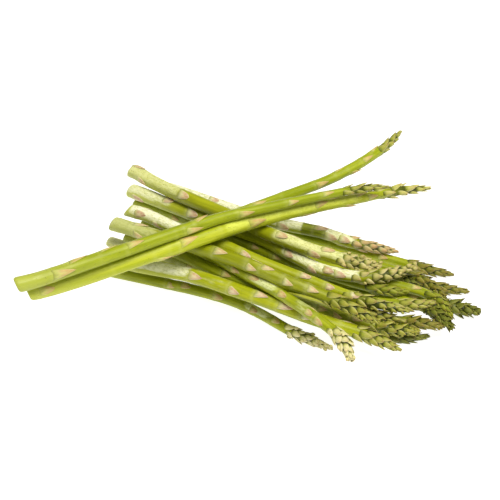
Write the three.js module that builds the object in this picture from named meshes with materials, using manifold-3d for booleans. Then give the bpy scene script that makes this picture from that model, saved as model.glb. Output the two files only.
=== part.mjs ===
// A loose bunch of green asparagus, 24 spears lying in a heap, butts to the left and heads to the right.
// Millimetres, +Z up. Every spear is one solid: stem, stem scales and scaly head grown together.
import * as THREE from 'three';
import { mergeVertices } from 'three/addons/utils/BufferGeometryUtils.js';
import Module from 'manifold-3d';

const wasm = await Module();
wasm.setup();

// Where the heap is looked at from: the courses below are given as seen from here.
const eyeDistance = 850;
const eyeElevation = THREE.MathUtils.degToRad(40);

// Stem and head
const stemSides = 8;
const stemRings = 8;
const headWhorls = 6; // rings of scales on a head, each turned half a scale from the one before
const tipOverhang = 0.55; // how far the tips of a whorl reach past it, in whorl spacings
const tipStep = 0.22; // and where the core under them comes back up, in whorl spacings
const cutRim = 1.2; // the cut end is rounded over this length
const rimNarrowing = 0.24; // and this share narrower at its very edge
const cutSlant = 0.3; // how far the top of a cut leans towards the head, for each mm across it
const headCore = 0.84; // the core of a head, as a share of its diameter over the scales
const headSwell = 0.3; // share of a head's length over which it swells to its full width
const headFullness = 2.5; // power of its taper to the tip: higher is blunter
const tipRadius = 0.7;
const scaleReach = 0.4; // how far the tips of the head's scales stand off it

// Scales
const growthTurn = THREE.MathUtils.degToRad(137.5); // each scale stands this far round from the one below
const stemScaleCount = 7;
const stemScaleLength = 2.1; // in stem radii
const stemScaleWidth = 1.8; // in stem radii
const firstGap = 8; // from the head down to the first stem scale
const gapGrowth = 1.33; // and every gap below is longer by this factor
const longestGap = 34;
const buttClear = 4; // no scale starts nearer to the cut end
const frontTurn = THREE.MathUtils.degToRad(140); // the side of a spear that faces the eye
const frontReach = THREE.MathUtils.degToRad(100); // and how far round to both sides it is seen
// Where the corners of a stem scale lie: at is the share of its length, out the height above the stem in mm.
const scaleShape = {
  root: { at: 0, out: -0.15 },
  shoulder: { at: 0.36, out: 0.12 },
  ridge: { at: 0.42, out: 0.95 },
  tip: { at: 1, out: 0.8 },
  deep: { at: 0.5, out: -1.6 },
};

// Lying in the heap
const samples = 71; // points along a spear that are tested against its neighbours
const clearance = 0.5; // between two neighbours
const sagRadius = 700; // how tightly a spear sags between its supports
const bendRadius = 260; // and how tightly it bends over one
const smoothing = 12; // passes that round off its heights
const roomShare = 0.35; // how much of the height of its head's scales a spear keeps clear
const liftStart = 0.6; // share of its length from where a lifted spear rises clear of the heap
const scaleGap = 0.35; // between a scale and the next spear
const pullStep = 0.15;
const restDepth = 0.35; // how far the lowest spears are pressed flat where they rest

// Courses run from butt to tip. Each point is [right, up] across the view, in mm at the heap's middle.
// thick holds the diameters at the butt, at the neck below the head, and over the head's scales. A stem
// holds its full thickness over the share of its length that hold gives, slant is its cut's own lean, and
// scaleLength its stem scales' own length. scales are those in view, each [mm from the butt, degrees round
// the stem].
// The spears are laid in this order, each one on top of those before it.
const spears = [
  { name: 'spear_01', thick: [7.0, 6.2, 7.8], head: 30, turn: 45,
    course: [[-55, 35], [0, 20], [32, 10], [65, 1], [101, -9], [120, -14], [132, -16]] },
  { name: 'spear_02', thick: [6.8, 6.2, 7.4], head: 30, turn: 150,
    course: [[-49, 21], [0, 6], [46, -6], [84, -16], [124, -25], [142, -27]] },
  { name: 'spear_03', thick: [6.8, 6.2, 7.6], head: 30, turn: 95,
    course: [[-52, 29], [0, 14], [39, 2], [78, -9], [104, -16], [118, -23], [127, -31]] },
  { name: 'spear_04', thick: [7.2, 6.8, 8.4], head: 24, turn: 310,
    course: [[-46, 16], [0, 1], [52, -11], [84, -15], [99, -18], [110, -27]] },
  { name: 'spear_05', thick: [7.0, 6.6, 8.6], head: 26, turn: 20,
    course: [[-46, 6], [0, -10], [52, -22], [98, -30], [131, -37], [150, -40]] },
  { name: 'spear_06', thick: [6.6, 6.0, 7.0], head: 26, turn: 240,
    course: [[-46, 10], [0, -5], [46, -16], [84, -21], [107, -25], [122, -32], [131, -44]] },
  { name: 'spear_07', thick: [6.6, 6.0, 7.0], head: 24, turn: 75,
    course: [[-46, 1], [0, -15], [52, -26], [98, -32], [117, -38], [132, -51]] },
  { name: 'spear_08', thick: [6.8, 6.4, 7.4], head: 26, turn: 280,
    course: [[-51, -3], [0, -20], [52, -31], [88, -35], [107, -36], [120, -34]] },
  { name: 'spear_09', thick: [6.6, 6.2, 7.0], head: 24, turn: 10,
    course: [[-55, -8], [0, -25], [39, -35], [72, -44], [107, -47], [125, -50]] },
  { name: 'spear_10', thick: [6.6, 6.2, 7.2], head: 28, turn: 190,
    course: [[-58, -12], [0, -30], [32, -41], [65, -52], [94, -57], [116, -56]] },
  { name: 'spear_11', thick: [6.4, 6.0, 6.8], head: 26, turn: 120,
    scales: [[32, 160], [96, 140], [112, 155]],
    course: [[-75, 31], [-52, 23], [-23, 12], [0, 3], [20, -5], [62, -20], [91, -27], [103, -27]] },
  { name: 'spear_12', thick: [7.0, 6.5, 7.2], head: 32, turn: 215,
    course: [[-92, 6], [-49, -8], [-23, -18], [6, -27], [32, -32], [52, -36], [78, -41], [101, -46]] },
  { name: 'spear_13', thick: [7.0, 6.4, 7.2], head: 32, turn: 330,
    scales: [[48, 140], [57, 110], [80, 135], [106, 130], [122, 115]],
    course: [[-99, -12], [-72, -18], [-32, -27], [-6, -35], [10, -43], [23, -51], [36, -57], [53, -64]] },
  { name: 'spear_14', thick: [7.4, 7.0, 7.8], head: 34, turn: 60,
    scales: [[75, 130], [138, 130], [148, 150], [159, 125]],
    course: [[-81, 9], [-46, -2], [-26, -12], [-3, -22], [20, -30], [62, -44], [88, -51], [110, -53]] },
  { name: 'spear_15', thick: [9.2, 8.2, 8.2], head: 30, turn: 170,
    scales: [[61, 135], [89, 150], [106, 100], [122, 120], [137, 140]],
    course: [[-94, -5], [-65, -12], [-39, -16], [-13, -25], [13, -34], [39, -44], [75, -55], [98, -65]] },
  { name: 'spear_19', thick: [6.8, 6.6, 9.0], head: 26, turn: 300,
    scales: [[80, 160], [94, 115], [117, 130], [138, 130], [146, 150]],
    course: [[-70, 17.5], [-55, 12], [-29, -1], [-3, -16], [26, -32], [44, -45], [57, -55], [65, -66],
      [66, -72]] },
  { name: 'spear_16', thick: [8.4, 6.4, 7.8], head: 42, turn: 255,
    scales: [[8, 150], [23, 195], [87, 130], [126, 100], [143, 125], [159, 120]],
    course: [[-81, 26.5], [-65, 22], [-47, 13], [-18, 3.5], [0, -5], [31, -17], [68, -31], [94, -38],
      [103, -40]] },
  { name: 'spear_17', thick: [8.4, 7.8, 7.8], head: 32, turn: 35,
    scales: [[34, 100], [85, 165], [110, 110], [117, 185], [127, 135]],
    course: [[-55, 41], [-20, 29], [23, 16], [46, 12], [65, 5], [84, 1], [96, -1]] },
  { name: 'spear_18', thick: [9.4, 7.2, 8.4], head: 42, turn: 110,
    scales: [[5, 195], [30, 100], [51, 140], [126, 135], [144, 175], [154, 125], [161, 140]],
    course: [[-78, 39.5], [-52, 29], [-29, 20], [13, 5], [42, -12], [62, -17], [81, -18], [99, -14],
      [107, -10]] },
  { name: 'spear_20', thick: [9.4, 7.2, 7.8], head: 36, turn: 205,
    scales: [[18, 65], [20, 185], [77, 115], [100, 155], [109, 90], [125, 150], [140, 125]],
    course: [[-90, 18], [-62, 9], [-39, 3], [-10, -6], [23, -20], [52, -31], [70, -40], [84, -47]] },
  { name: 'spear_21', thick: [9.3, 8.2, 9.0], head: 28, turn: 80,
    scales: [[12, 195], [49, 130], [125, 105], [148, 170], [155, 85]],
    course: [[-77, 53], [-65, 45], [-39, 33], [-6, 19], [23, 6], [49, -3], [72, -9], [85, -10]] },
  { name: 'crossing_spear_rising', thick: [7.6, 6.4, 6.4], head: 26, bend: 450, lift: 22,
    scaleLength: 2.8, turn: 340,
    scales: [[86, 105], [134, 150], [168, 120]],
    course: [[-81, 0], [-32, 16], [-6, 24], [20, 34], [46, 43], [59, 49], [78, 60], [88, 67], [98, 77]] },
  { name: 'crossing_spear_front', thick: [9.6, 6.0, 7.8], head: 38, bend: 450, hold: 0.6, slant: -0.3,
    scaleLength: 2.6, turn: 140,
    scales: [[6, 110], [52, 50], [78, 220], [94, 110], [140, 155], [161, 70], [176, 225], [186, 115],
      [207, 210], [215, 85]],
    course: [[-143.5, -29.5], [-110, -19], [-72, -5.7], [-46, 3], [-20, 11.8], [6, 20], [32, 26], [58, 31],
      [80, 35], [98, 39], [112, 42], [117, 40]] },
  { name: 'crossing_spear_back', thick: [9.4, 5.4, 5.6], head: 34, bend: 450, slant: -0.3,
    scaleLength: 2.8, turn: 25,
    scales: [[22, 145], [33, 60], [52, 50], [68, 105], [105, 170], [112, 75], [141, 155], [173, 140],
      [197, 120]],
    course: [[-151.5, -24], [-110, -10], [-72, 3], [-46, 12], [-20, 21], [0, 25], [26, 31], [52, 36],
      [78, 41], [90, 41]] },
];

const skin = new THREE.MeshStandardMaterial({ color: 0x9aa83a, roughness: 0.5, metalness: 0 });

const up = new THREE.Vector3(0, 0, 1);
const eye = new THREE.Vector3(0, -Math.cos(eyeElevation), Math.sin(eyeElevation));
eye.multiplyScalar(eyeDistance);

// The point at a height above the table that is seen at [right, rise] in the view.
function seenAt(right, rise, height) {
  const inView = new THREE.Vector3(right, rise * Math.sin(eyeElevation), rise * Math.cos(eyeElevation));
  const along = inView.sub(eye);
  return eye.clone().addScaledVector(along, (height - eye.z) / along.z);
}

// Radius of the spear's core at a distance from its butt.
function coreRadius(spear, distance) {
  const [butt, neck, head] = spear.thick.map((diameter) => diameter / 2);
  const headStart = spear.length - spear.head;
  if (distance < headStart) {
    const rim = 1 - rimNarrowing * Math.max(0, 1 - distance / cutRim);
    const hold = spear.hold ?? 0;
    const thinned = Math.max(0, (distance / headStart - hold) / (1 - hold));
    return THREE.MathUtils.lerp(butt, neck, thinned) * rim;
  }
  const share = (distance - headStart) / spear.head;
  const full = head * headCore;
  if (share < headSwell) return neck + (full - neck) * THREE.MathUtils.smoothstep(share, 0, headSwell);
  return tipRadius + (full - tipRadius) * (1 - ((share - headSwell) / (1 - headSwell)) ** headFullness);
}

// Radius over the tips of the head's scales.
function scaledRadius(spear, distance) {
  const headStart = spear.length - spear.head;
  const inHead = THREE.MathUtils.smoothstep(distance, headStart, headStart + headSwell * spear.head);
  return coreRadius(spear, distance) * THREE.MathUtils.lerp(1, 1 / headCore, inHead) + scaleReach * inHead;
}

// Room that a spear takes round its centre line: scales give way where two heads touch.
function roomRadius(spear, distance) {
  return THREE.MathUtils.lerp(coreRadius(spear, distance), scaledRadius(spear, distance), roomShare);
}

// Heights along a spear that sags a little between its supports and bends softly over each of them.
function restingHeights(distances, lowest, bend) {
  const sag = distances.map((distance) => distance ** 2 / (2 * sagRadius));
  const hung = distances.map((at, k) => {
    let height = lowest[k];
    for (let i = 0; i < k; i++) {
      for (let j = k + 1; j < samples; j++) {
        const share = (at - distances[i]) / (distances[j] - distances[i]);
        const between = THREE.MathUtils.lerp(lowest[i] - sag[i], lowest[j] - sag[j], share);
        height = Math.max(height, between + sag[k]);
      }
    }
    return height;
  });
  let heights = distances.map((at) => Math.max(...hung.map((height, m) =>
    height - (at - distances[m]) ** 2 / (2 * bend))));
  const last = samples - 1;
  for (let pass = 0; pass < smoothing; pass++) {
    heights = heights.map((height, i, all) =>
      (all[Math.max(i - 1, 0)] + height + all[Math.min(i + 1, last)]) / 3);
  }
  const short = Math.max(...heights.map((height, i) => lowest[i] - height));
  return heights.map((height) => height + Math.max(short, 0));
}

// Lays one spear on those already there, and gives it its centre line.
function lay(spear, laid) {
  const points = spear.course.map(([right, rise]) => new THREE.Vector3(right, rise, 0));
  const view = new THREE.CatmullRomCurve3(points, false, 'centripetal').getSpacedPoints(samples - 1);
  const lying = view.map((p) => seenAt(p.x, p.y, spear.thick[0] / 2));
  const distances = [0];
  for (let i = 1; i < samples; i++) distances.push(distances[i - 1] + lying[i].distanceTo(lying[i - 1]));
  spear.length = distances[samples - 1];

  // the lowest height that is clear at each sample, along its line of sight
  const lowest = view.map((p, i) => {
    const own = roomRadius(spear, distances[i]);
    const along = lying[i].clone().sub(eye).normalize();
    let height = own - restDepth;
    for (const other of laid) {
      for (let j = 0; j < samples; j++) {
        const toOther = other.line[j].clone().sub(eye);
        const near = toOther.dot(along);
        const room = own + other.room[j] + clearance;
        const inside = room * room - (toOther.lengthSq() - near * near);
        if (inside > 0) height = Math.max(height, eye.z + along.z * (near - Math.sqrt(inside)));
      }
    }
    return height;
  });

  const heights = restingHeights(distances, lowest, spear.bend ?? bendRadius).map((height, i) =>
    height + (spear.lift ?? 0) * THREE.MathUtils.smoothstep(i / samples, liftStart, 1));
  spear.line = view.map((p, i) => seenAt(p.x, p.y, heights[i]));
  spear.curve = new THREE.CatmullRomCurve3(spear.line.filter((p, i) => i % 5 === 0), false, 'centripetal');
  spear.length = spear.curve.getLength();
  spear.room = spear.line.map((p, i) => roomRadius(spear, spear.length * i / (samples - 1)));
}

// Centre point, direction, left side and top side of a spear at a distance from its butt.
function frameAt(spear, distance) {
  const share = THREE.MathUtils.clamp(distance / spear.length, 0, 1);
  const along = spear.curve.getTangentAt(share);
  const left = new THREE.Vector3().crossVectors(up, along).normalize();
  const top = new THREE.Vector3().crossVectors(along, left);
  return { centre: spear.curve.getPointAt(share), along, left, top };
}

// A closed solid from a geometry's positions alone.
function solidFrom(geometry) {
  geometry.deleteAttribute('normal');
  geometry.deleteAttribute('uv');
  const merged = mergeVertices(geometry, 1e-5);
  return new wasm.Manifold(new wasm.Mesh({
    numProp: 3,
    vertProperties: new Float32Array(merged.attributes.position.array),
    triVerts: new Uint32Array(merged.index.array),
  }));
}

// The rings of vertices that a spear's surface runs over, from butt to tip. Every whorl of scales on the
// head has a ring of raised tips, which overhang the ring on the core that follows it.
function surfaceRings(spear) {
  const headStart = spear.length - spear.head;
  const rings = [{ distance: 0 }, { distance: cutRim }];
  for (let i = 1; i < stemRings; i++) rings.push({ distance: headStart * i / stemRings });
  const spacing = spear.head / (headWhorls + 0.4);
  for (let i = 0; i < headWhorls; i++) {
    const distance = headStart + spacing * i;
    rings.push({ distance, tips: i % 2, overhang: tipOverhang * spacing });
    rings.push({ distance: distance + tipStep * spacing });
  }
  rings.push({ distance: spear.length });
  return rings;
}

// Stem and head in one closed surface: a cylinder whose rings follow the spear's course.
function bodySolid(spear) {
  const rings = surfaceRings(spear);
  const geometry = new THREE.CylinderGeometry(1, 1, 1, stemSides, rings.length - 1);
  const position = geometry.attributes.position;
  const point = new THREE.Vector3();
  const phase = THREE.MathUtils.degToRad(spear.turn);
  for (let i = 0; i < position.count; i++) {
    point.fromBufferAttribute(position, i);
    const ring = rings[Math.round((point.y + 0.5) * (rings.length - 1))];
    const side = Math.round(Math.atan2(point.x, point.z) / (2 * Math.PI / stemSides)) + stemSides;
    const raised = ring.tips === side % 2;
    const distance = ring.distance + (raised ? ring.overhang : 0);
    const { centre, along, left, top } = frameAt(spear, distance);
    const radius = raised ? scaledRadius(spear, distance) : coreRadius(spear, distance);
    point.applyAxisAngle(new THREE.Vector3(0, 1, 0), phase);
    const lean = ring.distance <= cutRim ? (spear.slant ?? cutSlant) * point.x * radius : 0;
    const out = centre.clone().addScaledVector(top, point.x * radius);
    out.addScaledVector(left, point.z * radius).addScaledVector(along, lean);
    if (raised) pulledClear(out, spear, { centre, radius: roomRadius(spear, distance) });
    position.setXYZ(i, out.x, out.y, out.z);
  }
  return solidFrom(geometry);
}

// Pulls a point of a spear's scale in, a little at a time, until it is clear of every other spear.
function pulledClear(point, spear, own) {
  for (const other of spears) {
    if (other === spear) continue;
    let gap = Infinity;
    for (let j = 0; j < samples; j++) {
      gap = Math.min(gap, point.distanceTo(other.line[j]) - other.room[j]);
    }
    let proud = point.distanceTo(own.centre) - own.radius;
    while (proud > 0 && gap < proud + scaleGap) {
      point.lerp(own.centre, pullStep / (proud + own.radius));
      proud -= pullStep;
      gap += pullStep;
    }
  }
  return point;
}

// One triangular scale: an octahedron drawn out into a root, two shoulders, a ridge, a tip and a deep point.
function scaleSolid(spear, { start, turn, length, width }) {
  const geometry = new THREE.OctahedronGeometry(1);
  const position = geometry.attributes.position;
  const corner = new THREE.Vector3();
  for (let i = 0; i < position.count; i++) {
    corner.fromBufferAttribute(position, i);
    let shape = scaleShape.root;
    if (corner.y > 0.5) shape = scaleShape.tip;
    if (Math.abs(corner.x) > 0.5) shape = scaleShape.shoulder;
    if (corner.z > 0.5) shape = scaleShape.ridge;
    if (corner.z < -0.5) shape = scaleShape.deep;
    const distance = start + length * shape.at;
    const { centre, left, top } = frameAt(spear, distance);
    const radius = coreRadius(spear, distance);
    const angle = turn + corner.x * width / 2 / radius;
    const sideways = left.multiplyScalar(Math.cos(angle)).addScaledVector(top, Math.sin(angle));
    const point = centre.clone().addScaledVector(sideways, radius + shape.out);
    if (shape.out > 0) pulledClear(point, spear, { centre, radius });
    position.setXYZ(i, point.x, point.y, point.z);
  }
  return solidFrom(geometry);
}

// The scales along the stem: first those in view, then from the head down, further apart towards the butt.
// Where the front of a spear is in view, the rule only fills its back.
function stemScales(spear) {
  const inView = spear.scales ?? [];
  const places = inView.map(([start, degrees]) => ({ start, turn: THREE.MathUtils.degToRad(degrees) }));
  let turn = THREE.MathUtils.degToRad(spear.turn);
  let start = spear.length - spear.head - firstGap;
  let gap = firstGap;
  for (let i = 0; i < stemScaleCount && start > buttClear; i++) {
    turn -= growthTurn;
    const fromFront = Math.cos(turn - frontTurn);
    if (!spear.scales || fromFront < Math.cos(frontReach)) places.push({ start, turn });
    gap = Math.min(gap * gapGrowth, longestGap);
    start -= gap;
  }
  return places.map((place) => {
    const radius = coreRadius(spear, place.start);
    const length = (spear.scaleLength ?? stemScaleLength) * radius;
    return { ...place, length, width: stemScaleWidth * radius };
  });
}

// One spear's mesh, with its scales joined on and cut flat where it rests on the table.
function spearMesh(spear) {
  let solid = bodySolid(spear);
  for (const scale of stemScales(spear)) solid = solid.add(scaleSolid(spear, scale));
  const table = new THREE.BoxGeometry(800, 800, 40).translate(0, 0, -20);
  solid = solid.subtract(solidFrom(table));
  const { vertProperties, triVerts } = solid.getMesh();
  const geometry = new THREE.BufferGeometry();
  geometry.setAttribute('position', new THREE.BufferAttribute(new Float32Array(vertProperties), 3));
  geometry.setIndex(new THREE.BufferAttribute(new Uint32Array(triVerts), 1));
  geometry.computeVertexNormals();
  const mesh = new THREE.Mesh(geometry, skin.clone());
  mesh.name = spear.name;
  return mesh;
}

spears.forEach((spear, i) => lay(spear, spears.slice(0, i)));

const heap = new THREE.Group();
for (const spear of spears) heap.add(spearMesh(spear));

// The origin is under the middle of the heap, on the table.
const box = new THREE.Box3().setFromObject(heap);
const middle = box.getCenter(new THREE.Vector3());
heap.position.set(-middle.x, -middle.y, -box.min.z);

const group = new THREE.Group();
group.add(heap);
export default group;
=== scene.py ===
import math

import bpy
import numpy as np
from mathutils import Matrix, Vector


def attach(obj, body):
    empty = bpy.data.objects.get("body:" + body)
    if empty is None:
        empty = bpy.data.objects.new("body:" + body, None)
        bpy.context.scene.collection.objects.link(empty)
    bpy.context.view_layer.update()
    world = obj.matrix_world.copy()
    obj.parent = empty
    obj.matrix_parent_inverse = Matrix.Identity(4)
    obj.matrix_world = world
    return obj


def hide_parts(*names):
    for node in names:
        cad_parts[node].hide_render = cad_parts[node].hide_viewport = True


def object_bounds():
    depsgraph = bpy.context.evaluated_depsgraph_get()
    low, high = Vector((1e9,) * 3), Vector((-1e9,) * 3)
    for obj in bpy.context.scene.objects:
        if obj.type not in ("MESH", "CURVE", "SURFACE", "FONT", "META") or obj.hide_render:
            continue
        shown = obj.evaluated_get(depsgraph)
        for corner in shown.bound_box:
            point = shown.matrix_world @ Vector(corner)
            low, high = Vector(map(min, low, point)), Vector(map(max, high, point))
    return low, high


# A loose bunch of green asparagus. The spears are worked out in mm and stored in metres.
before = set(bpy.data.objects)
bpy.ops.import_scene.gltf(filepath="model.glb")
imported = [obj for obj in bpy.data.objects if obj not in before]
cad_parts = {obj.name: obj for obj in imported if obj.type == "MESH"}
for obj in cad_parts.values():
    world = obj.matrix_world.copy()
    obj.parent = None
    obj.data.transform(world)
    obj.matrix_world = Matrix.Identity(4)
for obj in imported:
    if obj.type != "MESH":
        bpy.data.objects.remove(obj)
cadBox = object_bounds()
scene = bpy.context.scene
scene.view_settings.view_transform = "Standard"
mm = 0.001
upright = np.array((0.0, 0.0, 1.0))
print("frame loaded:", len(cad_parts), "spears")

# Camera: it looks down on the heap from the front.
cameraView = {
    "target": (-0.00230, 0.02447, 0.0),  # the point on the table that the view is centred on
    "distance": 0.85,
    "elevation": math.radians(40),
    "lens": 94.15,  # mm, on a sensor 36 mm wide
}


def placeCamera(settings):
    data = bpy.data.cameras.new("frontCamera")
    data.lens = settings["lens"]
    data.sensor_width = 36.0
    camera = bpy.data.objects.new("frontCamera", data)
    target = Vector(settings["target"])
    back = Vector((0, -math.cos(settings["elevation"]), math.sin(settings["elevation"])))
    camera.location = target + back * settings["distance"]
    camera.rotation_euler = (-back).to_track_quat("-Z", "Y").to_euler()
    scene.collection.objects.link(camera)
    scene.camera = camera


placeCamera(cameraView)
print("camera placed")

# The spears, in mm. thick: diameters at the butt, at the neck below the head and over the head's scales.
# head: its length. turn: where the spiral of scales starts, in degrees. hold: share of the stem that keeps
# the butt's thickness. slant: the cut's own lean. dish: how far its middle is sunk. scales: stem scales in
# view, each (from the butt, degrees round the stem). scaleLength: their length in stem radii. blunt: they
# have round tips. wax: pale wax bloom with a painted highlight on its upper side, each (from,
# to, strength). bare: a stretch painted dark with no bloom, the painted shadow of the crossing
# spears. crown: the head's scales, how many, and their length at its foot and at its tip. loose: how far
# they stand open. buds and budSize: the small round buds between them.
spears = {
    "spear_01": {
        "thick": (7.0, 6.2, 7.8), "head": 30, "turn": 45, "skin": "leafGreen", "headSkin": "tanHead",
        "loose": 0.15,
    },
    "spear_02": {
        "thick": (6.8, 6.2, 7.4), "head": 30, "turn": 150, "skin": "leafGreen", "headSkin": "tanHead",
        "loose": 0.2, "buds": 16,
    },
    "spear_03": {
        "thick": (6.8, 6.2, 7.6), "head": 30, "turn": 95, "skin": "leafGreen", "headSkin": "tanHead",
        "loose": 0.45, "buds": 40,
    },
    "spear_04": {
        "thick": (7.2, 6.8, 8.4), "head": 24, "turn": 310, "skin": "leafGreen", "headSkin": "darkHead",
        "loose": 0.7, "buds": 90,
    },
    "spear_05": {
        "thick": (7.0, 6.6, 8.6), "head": 26, "turn": 20, "skin": "leafGreen", "headSkin": "darkHead",
        "loose": 0.7, "buds": 60,
    },
    "spear_06": {
        "thick": (6.6, 6.0, 7.0), "head": 26, "turn": 240, "skin": "leafGreen", "headSkin": "brightHead",
        "loose": 0.2, "buds": 16,
    },
    "spear_07": {
        "thick": (6.6, 6.0, 7.0), "head": 24, "turn": 75, "skin": "leafGreen", "headSkin": "darkHead",
        "loose": 0.6, "buds": 70,
    },
    "spear_08": {
        "thick": (6.8, 6.4, 7.4), "head": 26, "turn": 280, "skin": "leafGreen", "headSkin": "oliveHead",
        "loose": 0.25,
    },
    "spear_09": {
        "thick": (6.6, 6.2, 7.0), "head": 24, "turn": 10, "skin": "leafGreen", "headSkin": "tanHead",
        "loose": 0.5, "buds": 20,
    },
    "spear_10": {
        "thick": (6.6, 6.2, 7.2), "head": 28, "turn": 190, "skin": "leafGreen", "headSkin": "darkHead",
        "loose": 0.3,
    },
    "spear_11": {
        "thick": (6.4, 6.0, 6.8), "head": 26, "turn": 120, "skin": "leafGreen", "headSkin": "brightHead",
        "loose": 0.15, "wax": [(20, 50, 0.4)],
        "scales": [(32, 160), (96, 140), (112, 155)],
    },
    "spear_12": {
        "thick": (7.0, 6.5, 7.2), "head": 32, "turn": 215, "skin": "greyWax", "headSkin": "oliveHead",
        "loose": 0.2, "wax": [(0, 120, 0.7)],
    },
    "spear_13": {
        "thick": (7.0, 6.4, 7.2), "head": 32, "turn": 330, "skin": "leafGreen", "headSkin": "creamHead",
        "loose": 0.25, "buds": 10, "budSize": 2.1, "blunt": True, "wax": [(102, 124, 0.9)],
        "crown": (36, 7.0, 3.2),
        "scales": [(48, 140), (57, 110), (80, 135), (106, 130), (122, 115)],
    },
    "spear_14": {
        "thick": (7.4, 7.0, 7.8), "head": 34, "turn": 60, "skin": "leafGreen", "headSkin": "budHead",
        "loose": 0.6, "buds": 40, "wax": [(120, 150, 0.4)],
        "scales": [(75, 130), (138, 130), (148, 150), (159, 125)],
    },
    "spear_15": {
        "thick": (9.2, 8.2, 8.2), "head": 30, "turn": 170, "skin": "paleWax", "headSkin": "oliveHead",
        "loose": 0.3, "wax": [(0, 64, 0.95), (62, 90, 0.3)],
        "scales": [(61, 135), (89, 150), (106, 100), (122, 120), (137, 140)],
    },
    "spear_16": {
        "thick": (8.4, 6.4, 7.8), "head": 42, "turn": 255, "skin": "paleWax", "headSkin": "oliveHead",
        "loose": 0.35, "buds": 16, "wax": [(3, 68, 1.0)], "dish": 1.8, "slant": 0.8, "blunt": True,
        "scales": [(8, 150), (23, 195), (87, 130), (126, 100), (143, 125), (159, 120)],
    },
    "spear_17": {
        "thick": (8.4, 7.8, 7.8), "head": 32, "turn": 35, "skin": "paleWax", "headSkin": "purpleHead",
        # from 101.5 to 118 mm a painted shadow: dark green with no bloom, where the crossing spears' shadow
        # falls
        "loose": 0.1, "wax": [(0, 111, 1.0), (112, 142, 0.9)], "bare": (101.5, 118),
        "blunt": True,
        "scales": [(34, 100), (85, 165), (110, 90), (118, 165), (128, 135)],
    },
    "spear_18": {
        "thick": (9.4, 7.2, 8.4), "head": 42, "turn": 110, "skin": "paleWax", "headSkin": "clusterHead",
        "loose": 0.3, "buds": 16, "budSize": 2.4, "blunt": True, "wax": [(0, 40, 0.7), (124, 180, 0.9)],
        "crown": (38, 7.0, 3.4),
        "scales": [(5, 195), (30, 100), (51, 140), (126, 135), (144, 175), (154, 125), (161, 140)],
    },
    "spear_19": {
        "thick": (6.8, 6.6, 9.0), "head": 26, "turn": 300, "skin": "leafGreen", "headSkin": "creamHead",
        "loose": 0.3, "buds": 12, "budSize": 2.1, "blunt": True, "wax": [(94, 118, 0.8), (130, 144, 0.5)],
        "crown": (34, 7.0, 3.2),
        "scales": [(80, 160), (94, 115), (117, 130), (138, 130), (146, 150)],
    },
    "spear_20": {
        "thick": (9.4, 7.2, 7.8), "head": 36, "turn": 205, "skin": "oliveWax", "headSkin": "budHead",
        "slant": 0.5, "loose": 0.35, "buds": 16, "wax": [(0, 40, 0.65), (103, 150, 0.32)],
        "scales": [(18, 65), (20, 185), (77, 115), (100, 155), (109, 90), (125, 150), (140, 125)],
    },
    "spear_21": {
        "thick": (9.3, 8.2, 9.0), "head": 28, "turn": 80, "skin": "softWax", "headSkin": "clusterHead",
        "slant": 0.55, "loose": 0.35, "buds": 16, "budSize": 2.4, "blunt": True,
        "wax": [(0, 52, 0.75), (124, 180, 0.9)], "crown": (34, 6.8, 3.4),
        "scales": [(3, 62), (12, 195), (49, 130), (125, 105), (148, 170), (155, 85)],
    },
    "crossing_spear_rising": {
        "thick": (7.6, 6.4, 6.4), "head": 34, "turn": 340, "skin": "deepGreen", "headSkin": "oliveHead",
        "loose": 0.1, "scaleLength": 2.8, "crown": (24, 9.0, 3.6),
        "scales": [(86, 105), (134, 150), (150, 55), (160, 205), (171, 125), (181, 60)],
    },
    "crossing_spear_back": {
        "thick": (9.4, 5.4, 5.6), "head": 34, "turn": 25, "skin": "deepGreen", "headSkin": "oliveHead",
        "slant": -0.3, "scaleLength": 2.8, "loose": 0.25, "wax": [(0, 40, 0.3)],
        "crown": (24, 8.5, 3.4),
        "scales": [(22, 145), (33, 60), (52, 50), (68, 105), (105, 170), (112, 75), (141, 155), (173, 140),
                   (197, 120)],
    },
    "crossing_spear_front": {
        "thick": (9.6, 6.0, 7.8), "head": 42, "turn": 140, "skin": "smoothGreen", "headSkin": "wheatHead",
        "hold": 0.6, "slant": -0.3, "scaleLength": 2.6, "loose": 0.3,
        # from 124 mm to the tip the pale stretch is painted light: a lighter green where the back spear
        # shades this one
        "wax": [(20, 70, 0.2), (124, 224, 0.95)], "crown": (24, 10.0, 4.5),
        "scales": [(6, 140), (52, 50), (78, 220), (94, 120), (140, 150), (161, 70), (176, 225), (186, 125),
                   (207, 210), (215, 85), (224, 150)],
    },
}

# How the centre line of each CAD spear is read, from cuts across it.
courseReading = {
    "stations": 60,
    "endMargin": 2.0,  # mm, the first and last cut stay this far inside the ends
    "firstReach": 90.0,
    "reach": 12.0,  # mm round a station where its cut is looked for
    "roundings": 6,
}


def unit(vectors):
    return vectors / np.linalg.norm(vectors, axis=-1, keepdims=True)


def nodeCorners(name):
    # the three corners of each triangle of a CAD spear, in mm
    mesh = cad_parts[name].data
    mesh.calc_loop_triangles()
    places = np.empty(len(mesh.vertices) * 3)
    mesh.vertices.foreach_get("co", places)
    order = np.empty(len(mesh.loop_triangles) * 3, dtype=np.int32)
    mesh.loop_triangles.foreach_get("vertices", order)
    return places.reshape(-1, 3)[order].reshape(-1, 3, 3) / mm


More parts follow.
